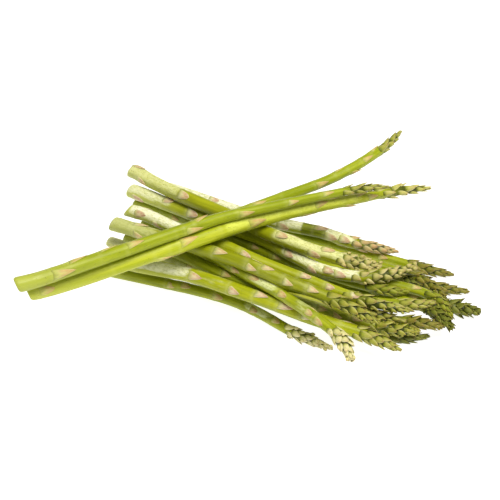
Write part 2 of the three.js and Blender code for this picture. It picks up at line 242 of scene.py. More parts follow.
def sectionCentre(corners, point, along, reach):
    # the middle of the cut that a plane across the spear makes
    side = unit(np.cross(along, upright))
    other = np.cross(along, side)
    height = (corners - point) @ along
    crossing = (height.min(1) < 0) & (height.max(1) > 0)
    corners = corners[crossing]
    height = height[crossing]
    facing = np.cross(corners[:, 1] - corners[:, 0], corners[:, 2] - corners[:, 0])
    above = height > 0
    alone = np.where(above.sum(1) == 1, above.argmax(1), (~above).argmax(1))
    rows = np.arange(len(corners))
    ends = []
    for step in (1, 2):
        second = (alone + step) % 3
        share = height[rows, alone] / (height[rows, alone] - height[rows, second])
        first = corners[rows, alone]
        ends.append(first + (corners[rows, second] - first) * share[:, None])
    backwards = ((ends[1] - ends[0]) * np.cross(along, facing)).sum(1) < 0
    start = np.where(backwards[:, None], ends[1], ends[0]) - point
    end = np.where(backwards[:, None], ends[0], ends[1]) - point
    near = np.linalg.norm(start, axis=1) < reach
    start = start[near]
    end = end[near]
    swept = (start @ side) * (end @ other) - (end @ side) * (start @ other)
    centre = ((start + end) * swept[:, None]).sum(0) / (3 * swept.sum())
    return point + centre


def rounded(line, passes):
    for _ in range(passes):
        line[1:-1] = (line[:-2] + 2 * line[1:-1] + line[2:]) / 4
    return line


def spaced(line, count):
    walked = np.concatenate(([0], np.cumsum(np.linalg.norm(np.diff(line, axis=0), axis=1))))
    at = np.linspace(0, walked[-1], count)
    return np.stack([np.interp(at, walked, line[:, i]) for i in range(3)], 1), at


def slantOf(settings):
    return settings.get("slant", coreShape["cutSlant"])


def spearCourse(name, settings):
    # the centre line of a CAD spear from its cut end to its tip
    reading = courseReading
    corners = nodeCorners(name)
    places = corners.reshape(-1, 3)
    middle = places.mean(0)
    axis = np.linalg.svd(places - middle, full_matrices=False)[2][0]
    axis = axis * np.sign(axis[0])
    extent = (places - middle) @ axis
    first = extent.min() + reading["endMargin"]
    last = extent.max() - reading["endMargin"]
    cuts = np.linspace(first, last, reading["stations"])
    firstReach = reading["firstReach"]
    line = np.array([sectionCentre(corners, middle + axis * cut, axis, firstReach) for cut in cuts])
    line = rounded(line, 2)
    along = unit(np.gradient(line, axis=0))
    stations = zip(line, along)
    line = np.array([sectionCentre(corners, point, way, reading["reach"]) for point, way in stations])
    line = rounded(line, reading["roundings"])
    along = unit(np.gradient(line, axis=0))

    # both ends, from the furthest points of the solid
    edge = settings["thick"][0] / 2 * (1 - coreShape["rimNarrowing"])
    buttReach = ((places - line[0]) @ along[0]).min() + abs(slantOf(settings)) * edge
    nearTip = np.linalg.norm(places - line[-1], axis=1) < reading["reach"]
    tipReach = ((places - line[-1]) @ along[-1])[nearTip].max()
    line = np.vstack((line[0] + along[0] * buttReach, line, line[-1] + along[-1] * tipReach))
    length = np.linalg.norm(np.diff(line, axis=0), axis=1).sum()
    points, at = spaced(line, int(length) + 1)
    points = rounded(points, reading["roundings"])
    return {"points": points, "at": at, "length": at[-1], "along": unit(np.gradient(points, axis=0))}


def frameAt(course, distance):
    # centre, direction, left side and top side of a spear at distances from its cut end
    distance = np.asarray(distance, dtype=float)
    inside = np.clip(distance, 0, course["length"])
    centre = np.stack([np.interp(inside, course["at"], course["points"][:, i]) for i in range(3)], -1)
    along = unit(np.stack([np.interp(inside, course["at"], course["along"][:, i]) for i in range(3)], -1))
    centre = centre + along * (distance - inside)[..., None]
    left = unit(np.cross(upright, along))
    return centre, along, left, np.cross(along, left)


# The stem and the core of the head, in one skin.
coreShape = {
    "sides": 28,
    "stemStep": 2.0,  # mm from ring to ring
    "headStep": 1.2,
    "cutSlant": 0.3,  # how far the cut leans along the stem, for each mm across it
    "slantFade": 6.0,
    "cutRim": 2.2,  # the cut end is rounded over this length
    "rimNarrowing": 0.3,
    "headCore": 0.84,  # the core of a head, as a share of its diameter over the scales
    "headSwell": 0.3,
    "headFullness": 2.0,
    "tipRadius": 0.4,
    "lobes": ((3, 0.014), (5, 0.012), (8, 0.007)),  # soft ribs: how many, and their height in radii
    "nodeHeight": 0.2,  # mm that the stem swells at the foot of a scale
    "nodeLength": 1.2,
    "waxAndHighlightFade": 7.0,  # mm over which a drift of wax and painted highlight sets in
    "waxTurn": math.radians(95),  # the upper, lit side of the stem, which holds most wax and the painted highlight
    "litSideReach": (-0.1, 0.9),  # and where it starts and is full, as the cosine of the angle from there
    "paintedShadowFade": 0.7,
    "dish": 0.15,  # mm that the middle of the cut is sunk
    "slowWaves": (0.045, 0.11),  # the stem swells and thins in waves, in radians a mm
    "waveHeight": 0.014,  # in radii
    "anyTurn": 6.28,  # a wave starts at a random turn up to this
    "patternShift": 311.0,  # mm from one spear's pattern to the next
    "ringsAtScale": (-0.9, 0, 0.9),  # extra rings round the foot of a scale
    "ringsAtPaintedShadow": (-0.5, 0.5),
    "closestRings": 0.45,
}


def smoothStep(values, start, end):
    share = np.clip((values - start) / (end - start), 0, 1)
    return share * share * (3 - 2 * share)


def coreRadius(settings, length, distance):
    butt, neck, head = (diameter / 2 for diameter in settings["thick"])
    headStart = length - settings["head"]
    hold = settings.get("hold", 0.0)
    stem = butt + (neck - butt) * np.clip((distance / headStart - hold) / (1 - hold), 0, 1)
    share = np.clip((distance - headStart) / settings["head"], 0, 1)
    full = head * coreShape["headCore"]
    swelling = neck + (full - neck) * smoothStep(share, 0, coreShape["headSwell"])
    taper = np.clip((share - coreShape["headSwell"]) / (1 - coreShape["headSwell"]), 0, 1)
    closing = 1 - taper ** coreShape["headFullness"]
    crown = coreShape["tipRadius"] + (full - coreShape["tipRadius"]) * closing
    return np.where(distance < headStart, stem, np.where(share < coreShape["headSwell"], swelling, crown))


def ringDistances(settings, length, scales):
    headStart = length - settings["head"]
    stem = np.arange(coreShape["cutRim"] + 0.8, headStart, coreShape["stemStep"])
    head = np.arange(headStart, length - 0.9, coreShape["headStep"])
    marks = [scale["start"] + step for scale in scales for step in coreShape["ringsAtScale"]]
    bare = settings.get("bare", (0, 0))
    marks += [edge + step for edge in bare for step in coreShape["ringsAtPaintedShadow"]]
    distances = np.sort(np.concatenate((stem, head, marks)))
    distances = distances[(distances > coreShape["cutRim"]) & (distances < length - 0.8)]
    kept = [distances[0]]
    for distance in distances[1:]:
        if distance - kept[-1] > coreShape["closestRings"]:
            kept.append(distance)
    return kept


def waxAndHighlightCover(settings, distance, angle):
    # how thick the bloom lies at each ring and side, with a painted highlight: most of it on the upper, lit
    # side
    cover = np.zeros(len(distance))
    fade = coreShape["waxAndHighlightFade"]
    for start, end, strength in settings.get("wax", []):
        rising = smoothStep(distance, start - fade / 2, start + fade / 2) if start > 0 else 1.0
        cover = np.maximum(cover, strength * rising * (1 - smoothStep(distance, end - fade, end)))
    # painted highlight: the pale cover is weighted to the upper side, where the light falls
    upper = smoothStep(np.cos(angle - coreShape["waxTurn"]), *coreShape["litSideReach"])
    return cover[:, None] * upper[None, :]


def paintedShadowCover(settings, distance):
    # painted shadow: a stretch with no bloom, painted dark where the crossing spears' shadow falls, with
    # crisp edges
    if "bare" not in settings:
        return np.zeros(len(distance))
    start, end = settings["bare"]
    fade = coreShape["paintedShadowFade"]
    ending = smoothStep(distance, end - fade, end + fade)
    return smoothStep(distance, start - fade, start + fade) * (1 - ending)


def coreMesh(name, settings, course, scales, rank):
    # one closed skin, from the middle of the cut to the tip
    length = course["length"]
    sides = coreShape["sides"]
    dice = np.random.default_rng(rank)
    dish = settings.get("dish", coreShape["dish"])
    rows = [(dish, 0.0, 1.0), (dish * 0.9, 0.35, 1.0), (dish * 0.4, 0.6, 1.0), (0.0, 0.7, 0.5)]
    for share in (0.08, 0.3, 0.65, 1.0):
        rim = 1 - coreShape["rimNarrowing"] * (1 - math.sqrt(1 - (1 - share) ** 2))
        rows.append((coreShape["cutRim"] * share, rim, 0.0))
    rows += [(distance, 1.0, 0.0) for distance in ringDistances(settings, length, scales)]
    rows += [(length - 0.45, 0.8, 0.0), (length - 0.15, 0.45, 0.0), (length, 0.0, 0.0)]
    distance, share, cut = (np.array(column) for column in zip(*rows))
    angle = np.arange(sides) * 2 * math.pi / sides
    centre, along, left, top = frameAt(course, distance)
    around = left[:, None] * np.cos(angle)[None, :, None] + top[:, None] * np.sin(angle)[None, :, None]

    base = coreRadius(settings, length, distance)
    inHead = smoothStep(distance, length - settings["head"], length - settings["head"] * 0.45)
    swell = np.zeros((len(rows), sides))
    anyTurn = coreShape["anyTurn"]
    for count, height in coreShape["lobes"]:
        drift = dice.uniform(0, anyTurn) + distance * dice.uniform(-0.006, 0.006)
        waver = 1 + 0.5 * np.sin(distance * dice.uniform(0.02, 0.05) + dice.uniform(0, anyTurn))
        swell += (height * base * waver)[:, None] * np.sin(count * angle[None, :] + drift[:, None])
    for pitch in coreShape["slowWaves"]:
        wave = np.sin(distance * pitch + dice.uniform(0, anyTurn))
        swell += (coreShape["waveHeight"] * base * wave)[:, None]
    nodeLine = np.zeros((len(rows), sides))
    for scale in scales:
        behind = (distance - scale["start"]) / coreShape["nodeLength"]
        toward = 0.25 + 0.75 * np.cos((angle - scale["turn"]) / 2) ** 2
        swell += coreShape["nodeHeight"] * np.exp(-behind ** 2)[:, None] * toward[None, :]
        line = np.exp(-(behind + 0.7) ** 2)
        nodeLine = np.maximum(nodeLine, line[:, None] * toward[None, :])
    onSkin = (cut < 0.3) & (distance < length - 0.5)
    swell *= (onSkin * (1 - 0.7 * inHead))[:, None]
    radius = base[:, None] * share[:, None] + swell
    lean = slantOf(settings) * np.sin(angle)[None, :] * radius
    lean *= np.clip(1 - distance / coreShape["slantFade"], 0, 1)[:, None]
    places = centre[:, None] + around * radius[..., None] + along[:, None] * lean[..., None]

    # poles at the middle of the cut and at the tip, rings between them
    vertices = np.vstack((places[0, :1], places[1:-1].reshape(-1, 3), places[-1, :1]))
    mesh = bpy.data.meshes.new(name)
    mesh.from_pydata((vertices * mm).tolist(), [], ringFaces(len(rows) - 2, sides, len(vertices)))
    mesh.shade_smooth()

    def spread(values):
        values = np.broadcast_to(values if np.ndim(values) == 2 else values[:, None], (len(rows), sides))
        return np.concatenate((values[0, :1], values[1:-1].reshape(-1), values[-1, :1]))

    across = base[:, None] * share[:, None]
    shifted = spread(distance) + rank * coreShape["patternShift"]
    onSpear = (spread(across * np.cos(angle)), spread(across * np.sin(angle)), shifted)
    storeValues(mesh, "onSpear", np.stack(onSpear, 1))
    storeValues(mesh, "alongShare", spread(distance / length))
    storeValues(mesh, "inHead", spread(inHead))
    storeValues(mesh, "cutFace", spread(cut))
    storeValues(mesh, "nodeLine", spread(nodeLine))
    storeValues(mesh, "wax", spread(waxAndHighlightCover(settings, distance, angle)))
    storeValues(mesh, "bare", spread(paintedShadowCover(settings, distance)))
    for plain, value in (("scaleShare", 0.0), ("scaleEdge", 0.0), ("scaleChance", 0.5), ("onScale", 0.0)):
        storeValues(mesh, plain, np.full(len(vertices), value))
    return mesh


def ringFaces(rings, sides, count):
    # triangles to the pole at each end, and quads from ring to ring
    faces = []
    last = 1 + (rings - 1) * sides
    for k in range(sides):
        after = (k + 1) % sides
        faces.append((0, 1 + k, 1 + after))
        faces.append((count - 1, last + after, last + k))
        for ring in range(rings - 1):
            first = 1 + ring * sides
            faces.append((first + k, first + sides + k, first + sides + after, first + after))
    return faces


def storeValues(mesh, name, values):
    values = np.asarray(values, dtype=np.float32)
    if values.ndim == 2:
        layer = mesh.attributes.new(name, "FLOAT_VECTOR", "POINT")
        layer.data.foreach_set("vector", values.ravel())
    else:
        layer = mesh.attributes.new(name, "FLOAT", "POINT")
        layer.data.foreach_set("value", values)


# Scales and buds. Each is modelled once: across X, towards its tip along Y and outwards along Z.
stemScale = {
    "columns": 8,
    "rows": 8,
    "halfTurn": 0.76,  # radians of the stem that each half of the foot holds
    "footCurve": -0.07,  # the foot's corners stand this far behind its middle
    "thick": 0.07,  # in stem radii
    "tipLift": 0.07,
    "ridge": 0.06,
    "pointed": (0.9, 0.15),  # power of its taper to the tip, and how full its sides are
    "blunt": (0.5, 0.1),
}

headScale = {
    "columns": 6,
    "rows": 6,
    "hug": 0.62,  # radius that its back is curved to, in widths
    "plump": 0.13,
    "thick": 0.06,
    "tipLift": 0.13,
}

budShape = {"sides": 8, "rings": (0.0, 0.15, 0.4, 0.7, 0.9, 1.0), "widths": (0.0, 0.36, 0.5, 0.42, 0.2, 0.0)}


def shellMesh(name, columns, rows, place):
    # a thin closed shell: one face above, one below, joined at the rim
    mesh = bpy.data.meshes.new(name)
    vertices, share, edge, local = [], [], [], []
    for level in (1, 0):
        for row in range(rows + 1):
            for column in range(columns + 1):
                u = 2 * column / columns - 1
                v = row / rows
                vertices.append(place(u, v, level))
                share.append(max(v, 0.02))
                edge.append(abs(u))
                local.append((u * 2, v * 5, level * 0.5))
    layer = (rows + 1) * (columns + 1)
    faces = []
    for row in range(rows):
        for column in range(columns):
            first = row * (columns + 1) + column
            quad = (first, first + 1, first + columns + 2, first + columns + 1)
            faces.append(quad)
            faces.append(tuple(layer + corner for corner in reversed(quad)))
    rim = list(range(columns + 1))
    rim += [row * (columns + 1) + columns for row in range(1, rows + 1)]
    rim += [rows * (columns + 1) + column for column in range(columns - 1, -1, -1)]
    rim += [row * (columns + 1) for row in range(rows - 1, 0, -1)]
    for start, end in zip(rim, rim[1:] + rim[:1]):
        faces.append((start, layer + start, layer + end, end))
    mesh.from_pydata(vertices, [], faces)
    mesh.shade_smooth()
    storeValues(mesh, "scaleShare", share)
    storeValues(mesh, "scaleEdge", edge)
    storeValues(mesh, "onSpear", np.array(local))
    return mesh


def stemScalePlace(u, v, level, tip="pointed"):
    # a triangle that hugs a stem of radius 1 about the Y axis
    shape = stemScale
    power, fullness = shape[tip]
    taper = (1 - v) ** power * (1 + fullness * v) + 0.012
    angle = shape["halfTurn"] * taper * u
    crown = (1 - u * u) * (1 - v) ** 0.4 * math.sin(math.pi * min(v * 1.2 + 0.12, 1))
    out = 1.0 + shape["tipLift"] * v ** 2.0 + shape["ridge"] * crown
    rise = shape["thick"] * (0.45 + 0.55 * min(v * 4, 1)) * (1 - 0.45 * abs(u) ** 3) * (1 - 0.5 * v ** 3)
    out += rise if level else -0.05 + 0.03 * v
    return (math.sin(angle) * out, v + shape["footCurve"] * u * u * (1 - v), math.cos(angle) * out)


def bluntScalePlace(u, v, level):
    return stemScalePlace(u, v, level, "blunt")


def headScalePlace(u, v, level):
    # a pointed leaf shape that lies on a crown which falls away to both sides
    shape = headScale
    across = 0.5 * u * ((1 - v) ** 0.8 * (0.86 + 0.95 * v) + 0.03)
    bulge = shape["plump"] * (1 - u * u) * math.sin(math.pi * (0.12 + 0.8 * v ** 0.9))
    out = bulge - across * across / (2 * shape["hug"]) + shape["tipLift"] * v ** 2.5
    rise = shape["thick"] * (1 - 0.5 * abs(u) ** 2) * (1 - 0.5 * v)
    out += rise if level else -0.06 * (1 - v) - bulge * 0.6
    return (across, v, out - 0.04)


def budMesh(name):
    sides = budShape["sides"]
    vertices = [(0, 0, 0)]
    share = [0.05]
    for along, width in zip(budShape["rings"][1:-1], budShape["widths"][1:-1]):
        for k in range(sides):
            angle = 2 * math.pi * k / sides
            vertices.append((math.cos(angle) * width, along, math.sin(angle) * width))
            share.append(along)
    vertices.append((0, 1, 0))
    share.append(0.95)
    mesh = bpy.data.meshes.new(name)
    faces = [face[::-1] for face in ringFaces(len(budShape["rings"]) - 2, sides, len(vertices))]
    mesh.from_pydata(vertices, [], faces)
    mesh.shade_smooth()
    storeValues(mesh, "scaleShare", share)
    storeValues(mesh, "scaleEdge", np.full(len(vertices), 0.2))
    storeValues(mesh, "onSpear", np.array(vertices) * 2.0)
    return mesh


def helperObject(mesh):
    thing = bpy.data.objects.new(mesh.name, mesh)
    scene.collection.objects.link(thing)
    return thing


def shellObject(name, shape, place):
    return helperObject(shellMesh(name, shape["columns"], shape["rows"], place))


patterns = {
    "Stem scale": shellObject("stemScale", stemScale, stemScalePlace),
    "Head scale": shellObject("headScale", headScale, headScalePlace),
    "Bud": helperObject(budMesh("bud")),
    "Blunt scale": shellObject("bluntScale", stemScale, bluntScalePlace),
}

# Where the scales and the buds stand.
growth = {
    "turn": math.radians(137.5),  # each scale stands this far round from the one below
    "stemCount": 7,
    "stemLength": 2.1,  # in stem radii
    "firstGap": 8,  # mm from the head down to the first stem scale
    "gapGrowth": 1.33,
    "longestGap": 34,
    "buttClear": 4,
    "frontTurn": math.radians(140),  # the side that faces the view
    "frontReach": math.radians(100),
    "crown": (30, 8.0, 3.2),  # a head's scales: how many, and their length at its foot and at its tip
    "crowding": 1.35,  # the head's scales crowd towards the tip by this power
    "bareTip": 0.8,
    "scaleWidth": 1.2,  # in core radii
    "openTilt": math.radians(24),
    "budSize": 1.3,
    "budReach": 0.9,  # share of the head that has buds
}


def stemScales(settings, length):
    # those in view, then from the head down: they stand further apart towards the butt
    inView = settings.get("scales", [])
    scales = [{"start": start, "turn": math.radians(degrees)} for start, degrees in inView]
    turn = math.radians(settings["turn"])
    start = length - settings["head"] - growth["firstGap"]
    gap = growth["firstGap"]
    for _ in range(growth["stemCount"]):
        if start <= growth["buttClear"]:
            break
        turn -= growth["turn"]
        hidden = math.cos(turn - growth["frontTurn"]) < math.cos(growth["frontReach"])
        if hidden or not inView:
            scales.append({"start": start, "turn": turn})
        gap = min(gap * growth["gapGrowth"], growth["longestGap"])
        start -= gap
    return scales


def standing(course, start, turn, out, tilt):
    # foot, outward face and direction of something that grows from the spear's side
    centre, along, left, top = frameAt(course, start)
    outward = left * math.cos(turn) + top * math.sin(turn)
    forward = along * math.cos(tilt) + outward * math.sin(tilt)
    facing = outward * math.cos(tilt) - along * math.sin(tilt)
    return centre + outward * out, facing, forward


def scalePlaces(settings, course, scales, rank):
    # a point for every scale and bud, with its directions and size
    length = course["length"]
    head = settings["head"]
    loose = settings["loose"]
    dice = np.random.default_rng(100 + rank)
    rows = []
    kind = 3 if settings.get("blunt") else 0
    scaleLength = settings.get("scaleLength", growth["stemLength"])
    for scale in scales:
        radius = float(coreRadius(settings, length, np.array(scale["start"] + 3.0)))
        foot, facing, forward = standing(course, scale["start"], scale["turn"], 0.0, 0.0)
        size = (radius, scaleLength * radius * dice.uniform(0.9, 1.12), radius)
        rows.append((foot, facing, forward, size, kind, 0.3, scale["start"] / length, 0.0))

    count, longest, shortest = settings.get("crown", growth["crown"])
    for k in range(count):
        share = k / (count - 1)
        fromTip = growth["bareTip"] + (head - growth["bareTip"]) * share ** growth["crowding"]
        start = length - fromTip
        radius, ahead = coreRadius(settings, length, np.array((start, start + 1.5)))
        turn = math.radians(settings["turn"]) + growth["turn"] * k
        tilt = math.atan2(ahead - radius, 1.5) + growth["openTilt"] * loose * dice.uniform(0.3, 1.3) + 0.05
        foot, facing, forward = standing(course, start, turn, radius * 0.95, tilt)
        scaleLength = shortest + (longest - shortest) * share ** 0.8
        scaleLength = min(scaleLength, fromTip + 0.8) * dice.uniform(0.88, 1.12)
        width = (growth["scaleWidth"] * radius + 0.8) * dice.uniform(0.88, 1.08)
        size = (width, scaleLength, width)
        rows.append((foot, facing, forward, size, 1, loose, start / length, 1.0))

    buds = settings.get("buds", 0)
    for k in range(buds):
        share = (k + 0.5) / buds
        start = length - 1.5 - head * growth["budReach"] * share ** 1.15 + dice.uniform(-0.5, 0.5)
        radius = float(coreRadius(settings, length, np.array(start)))
        turn = 1.1 + growth["turn"] * k + dice.uniform(-0.2, 0.2)
        tilt = math.radians(dice.uniform(10, 38))
        foot, facing, forward = standing(course, start, turn, radius + 0.15, tilt)
        size = settings.get("budSize", growth["budSize"]) * dice.uniform(0.75, 1.2)
        rows.append((foot, facing, forward, (size, size * 1.5, size), 2, 1.0, start / length, 1.0))
    return rows


def pointsMesh(name, rows):
    foot, facing, forward, size, kind, loose, share, inHead = zip(*rows)
    mesh = bpy.data.meshes.new(name + "_scales")
    mesh.from_pydata((np.array(foot) * mm).tolist(), [], [])
    storeValues(mesh, "facing", np.array(facing))
    storeValues(mesh, "forward", np.array(forward))
    storeValues(mesh, "scaleSize", np.array(size) * mm)
    storeValues(mesh, "scaleKind", kind)
    storeValues(mesh, "looseness", loose)
    storeValues(mesh, "alongShare", share)
    storeValues(mesh, "inHead", inHead)
    return mesh


def scaleTree():
    # puts a scale or a bud on every point, turned a little at random, and joins them to the stem
    tree = bpy.data.node_groups.new("scalesOnSpear", "GeometryNodeTree")
    sockets = {}
    for name, kind in (
        ("Geometry", "NodeSocketGeometry"), ("Stem", "NodeSocketObject"), ("Stem scale", "NodeSocketObject"),
        ("Head scale", "NodeSocketObject"), ("Bud", "NodeSocketObject"), ("Blunt scale", "NodeSocketObject"),
        ("Skin", "NodeSocketMaterial"), ("Play", "NodeSocketFloat"), ("Seed", "NodeSocketInt"),
    ):
        sockets[name] = tree.interface.new_socket(name, in_out="INPUT", socket_type=kind).identifier
    tree.interface.new_socket("Geometry", in_out="OUTPUT", socket_type="NodeSocketGeometry")
    nodes = tree.nodes
    link = tree.links.new
    given = nodes.new("NodeGroupInput")
    result = nodes.new("NodeGroupOutput")

    def named(attribute, kind):
        node = nodes.new("GeometryNodeInputNamedAttribute")
        node.data_type = kind
        node.inputs["Name"].default_value = attribute
        return node.outputs["Attribute"]

    def product(first, second):
        node = nodes.new("ShaderNodeMath")
        node.operation = "MULTIPLY"
        link(first, node.inputs[0])
        if isinstance(second, float):
            node.inputs[1].default_value = second
        else:
            link(second, node.inputs[1])
        return node.outputs[0]

    def stored(geometry, attribute, value):
        node = nodes.new("GeometryNodeStoreNamedAttribute")
        node.data_type = "FLOAT"
        node.domain = "INSTANCE"
        node.inputs["Name"].default_value = attribute
        link(geometry, node.inputs["Geometry"])
        if isinstance(value, float):
            node.inputs["Value"].default_value = value
        else:
            link(value, node.inputs["Value"])
        return node.outputs[0]

    facing = nodes.new("FunctionNodeAxesToRotation")
    facing.primary_axis = "Z"
    facing.secondary_axis = "Y"
    link(named("facing", "FLOAT_VECTOR"), facing.inputs["Primary Axis"])
    link(named("forward", "FLOAT_VECTOR"), facing.inputs["Secondary Axis"])

    reach = product(given.outputs["Play"], named("looseness", "FLOAT"))
    nudge = nodes.new("FunctionNodeRandomValue")
    nudge.data_type = "FLOAT_VECTOR"
    link(product(reach, -1.0), nudge.inputs[0])
    link(reach, nudge.inputs[1])
    link(given.outputs["Seed"], nudge.inputs["Seed"])
    toTurn = nodes.new("FunctionNodeEulerToRotation")
    link(nudge.outputs[0], toTurn.inputs[0])
    turned = nodes.new("FunctionNodeRotateRotation")
    turned.rotation_space = "LOCAL"
    link(facing.outputs[0], turned.inputs["Rotation"])
    link(toTurn.outputs[0], turned.inputs["Rotate By"])

    joined = nodes.new("GeometryNodeJoinGeometry")
    stem = nodes.new("GeometryNodeObjectInfo")
    link(given.outputs["Stem"], stem.inputs["Object"])
    link(stem.outputs["Geometry"], joined.inputs[0])
    for number, name in enumerate(("Stem scale", "Head scale", "Bud", "Blunt scale")):
        source = nodes.new("GeometryNodeObjectInfo")
        link(given.outputs[name], source.inputs["Object"])
        chosen = nodes.new("FunctionNodeCompare")
        chosen.data_type = "FLOAT"
        chosen.operation = "EQUAL"
        link(named("scaleKind", "FLOAT"), chosen.inputs[0])
        chosen.inputs[1].default_value = number
        placed = nodes.new("GeometryNodeInstanceOnPoints")
        link(given.outputs["Geometry"], placed.inputs["Points"])
        link(chosen.outputs[0], placed.inputs["Selection"])
        link(source.outputs["Geometry"], placed.inputs["Instance"])
        link(turned.outputs[0], placed.inputs["Rotation"])
        link(named("scaleSize", "FLOAT_VECTOR"), placed.inputs["Scale"])
        chance = nodes.new("FunctionNodeRandomValue")
        chance.data_type = "FLOAT"
        link(given.outputs["Seed"], chance.inputs["Seed"])
        marked = stored(placed.outputs[0], "scaleChance", chance.outputs[1])
        link(stored(marked, "onScale", 1.0), joined.inputs[0])
    solid = nodes.new("GeometryNodeRealizeInstances")
    link(joined.outputs[0], solid.inputs[0])
    coat = nodes.new("GeometryNodeSetMaterial")
    link(solid.outputs[0], coat.inputs["Geometry"])
    link(given.outputs["Skin"], coat.inputs["Material"])
    link(coat.outputs[0], result.inputs[0])
    return tree, sockets


# Colours. light and deep: the stem's streaks. butt: near the cut end. bloomAndHighlight: the pale wax bloom,
# which also serves as painted highlight. The leaf tones are the stem scales'.
skins = {
    "smoothGreen": {
        # this skin's pale tone is painted light: a lighter green laid on the front spear's shaded part
        "light": (0.51, 0.55, 0.030), "deep": (0.37, 0.43, 0.008), "butt": (0.56, 0.60, 0.10),
        "bloomAndHighlight": (0.68, 0.74, 0.10), "leafFoot": (0.72, 0.72, 0.26), "leafMiddle": (0.66, 0.42, 0.15),
        "leafTip": (0.52, 0.31, 0.10),
    },
    "deepGreen": {
        "light": (0.36, 0.42, 0.012), "deep": (0.25, 0.31, 0.003), "butt": (0.50, 0.54, 0.10),
        "bloomAndHighlight": (0.70, 0.74, 0.30), "leafFoot": (0.68, 0.69, 0.24), "leafMiddle": (0.62, 0.40, 0.15),
        "leafTip": (0.48, 0.29, 0.10),
    },
    "leafGreen": {
        "light": (0.39, 0.43, 0.010), "deep": (0.23, 0.28, 0.002), "butt": (0.48, 0.54, 0.08),
        "bloomAndHighlight": (0.76, 0.80, 0.44), "leafFoot": (0.72, 0.71, 0.28), "leafMiddle": (0.56, 0.34, 0.15),
        "leafTip": (0.38, 0.20, 0.09),
    },
    "softWax": {
        "light": (0.38, 0.41, 0.006), "deep": (0.26, 0.29, 0.002), "butt": (0.62, 0.65, 0.18),
        "bloomAndHighlight": (0.78, 0.80, 0.38), "leafFoot": (0.80, 0.78, 0.42), "leafMiddle": (0.62, 0.38, 0.21),
        "leafTip": (0.46, 0.27, 0.15),
    },
    "oliveWax": {
        "light": (0.31, 0.34, 0.005), "deep": (0.21, 0.24, 0.002), "butt": (0.50, 0.53, 0.16),
        "bloomAndHighlight": (0.62, 0.65, 0.28), "leafFoot": (0.78, 0.77, 0.40), "leafMiddle": (0.62, 0.40, 0.21),
        "leafTip": (0.46, 0.28, 0.15),
    },
    "paleWax": {
        "light": (0.42, 0.45, 0.010), "deep": (0.28, 0.32, 0.002), "butt": (0.60, 0.64, 0.16),
        "bloomAndHighlight": (0.88, 0.89, 0.64), "leafFoot": (0.82, 0.80, 0.50), "leafMiddle": (0.60, 0.36, 0.24),
        "leafTip": (0.40, 0.22, 0.14),
    },
    "greyWax": {
        "light": (0.46, 0.48, 0.06), "deep": (0.30, 0.32, 0.015), "butt": (0.62, 0.63, 0.26),
        "bloomAndHighlight": (0.72, 0.74, 0.44), "leafFoot": (0.72, 0.72, 0.40), "leafMiddle": (0.58, 0.42, 0.24),
        "leafTip": (0.40, 0.24, 0.15),
    },
}

headSkins = {
    "oliveHead": {"foot": (0.27, 0.32, 0.010), "middle": (0.39, 0.39, 0.07), "tip": (0.36, 0.20, 0.09),
                  "rim": (0.60, 0.56, 0.22)},
    "wheatHead": {"foot": (0.42, 0.47, 0.04), "middle": (0.58, 0.54, 0.17), "tip": (0.52, 0.30, 0.15),
                  "rim": (0.76, 0.70, 0.32)},
    "tanHead": {"foot": (0.13, 0.16, 0.004), "middle": (0.23, 0.21, 0.02), "tip": (0.21, 0.10, 0.02),
                "rim": (0.42, 0.37, 0.11)},
    "darkHead": {"foot": (0.07, 0.10, 0.002), "middle": (0.14, 0.17, 0.010), "tip": (0.14, 0.09, 0.02),
                 "rim": (0.34, 0.35, 0.07)},
    "brightHead": {"foot": (0.16, 0.21, 0.003), "middle": (0.27, 0.31, 0.010), "tip": (0.25, 0.15, 0.03),
                   "rim": (0.46, 0.46, 0.08)},
    "creamHead": {"foot": (0.50, 0.53, 0.12), "middle": (0.80, 0.74, 0.38), "tip": (0.64, 0.46, 0.25),
                  "rim": (0.88, 0.84, 0.52)},
    "clusterHead": {"foot": (0.30, 0.34, 0.04), "middle": (0.58, 0.51, 0.19), "tip": (0.50, 0.30, 0.16),
                    "rim": (0.76, 0.69, 0.36)},
    "budHead": {"foot": (0.18, 0.22, 0.003), "middle": (0.36, 0.36, 0.04), "tip": (0.33, 0.18, 0.05),
                "rim": (0.60, 0.58, 0.17)},
    "purpleHead": {"foot": (0.50, 0.50, 0.20), "middle": (0.62, 0.40, 0.19), "tip": (0.32, 0.13, 0.06),
                   "rim": (0.68, 0.56, 0.30)},
}

# Tones and finish that all spears share.
common = {
    # the painted shadow's tones: dark green where the crossing spears' shadow falls
    "paintedShadowDeep": (0.13, 0.16, 0.004),
    "paintedShadowPale": (0.26, 0.30, 0.012),
    "speck": (0.15, 0.14, 0.03),
    "cutPale": (0.66, 0.68, 0.34),
    "cutGreen": (0.44, 0.50, 0.10),
    "paintedScaleShade": (0.05, 0.07, 0.003),  # painted shade where a scale comes out from under its neighbours
    "paintedHeadShade": (0.02, 0.03, 0.001),  # painted shade between the scales of a head
    "vein": (0.20, 0.17, 0.04),
    "glow": 0.08,  # how much light passes through the skin
    "glowColours": (1.0, 0.9, 0.25),
    "glowReach": 0.0012,  # m
    "shine": 0.28,
    "fineRelief": (0.4, 0.00022),  # its strength, and its depth in m
}


def colourOf(tone):
    return (*tone, 1.0)


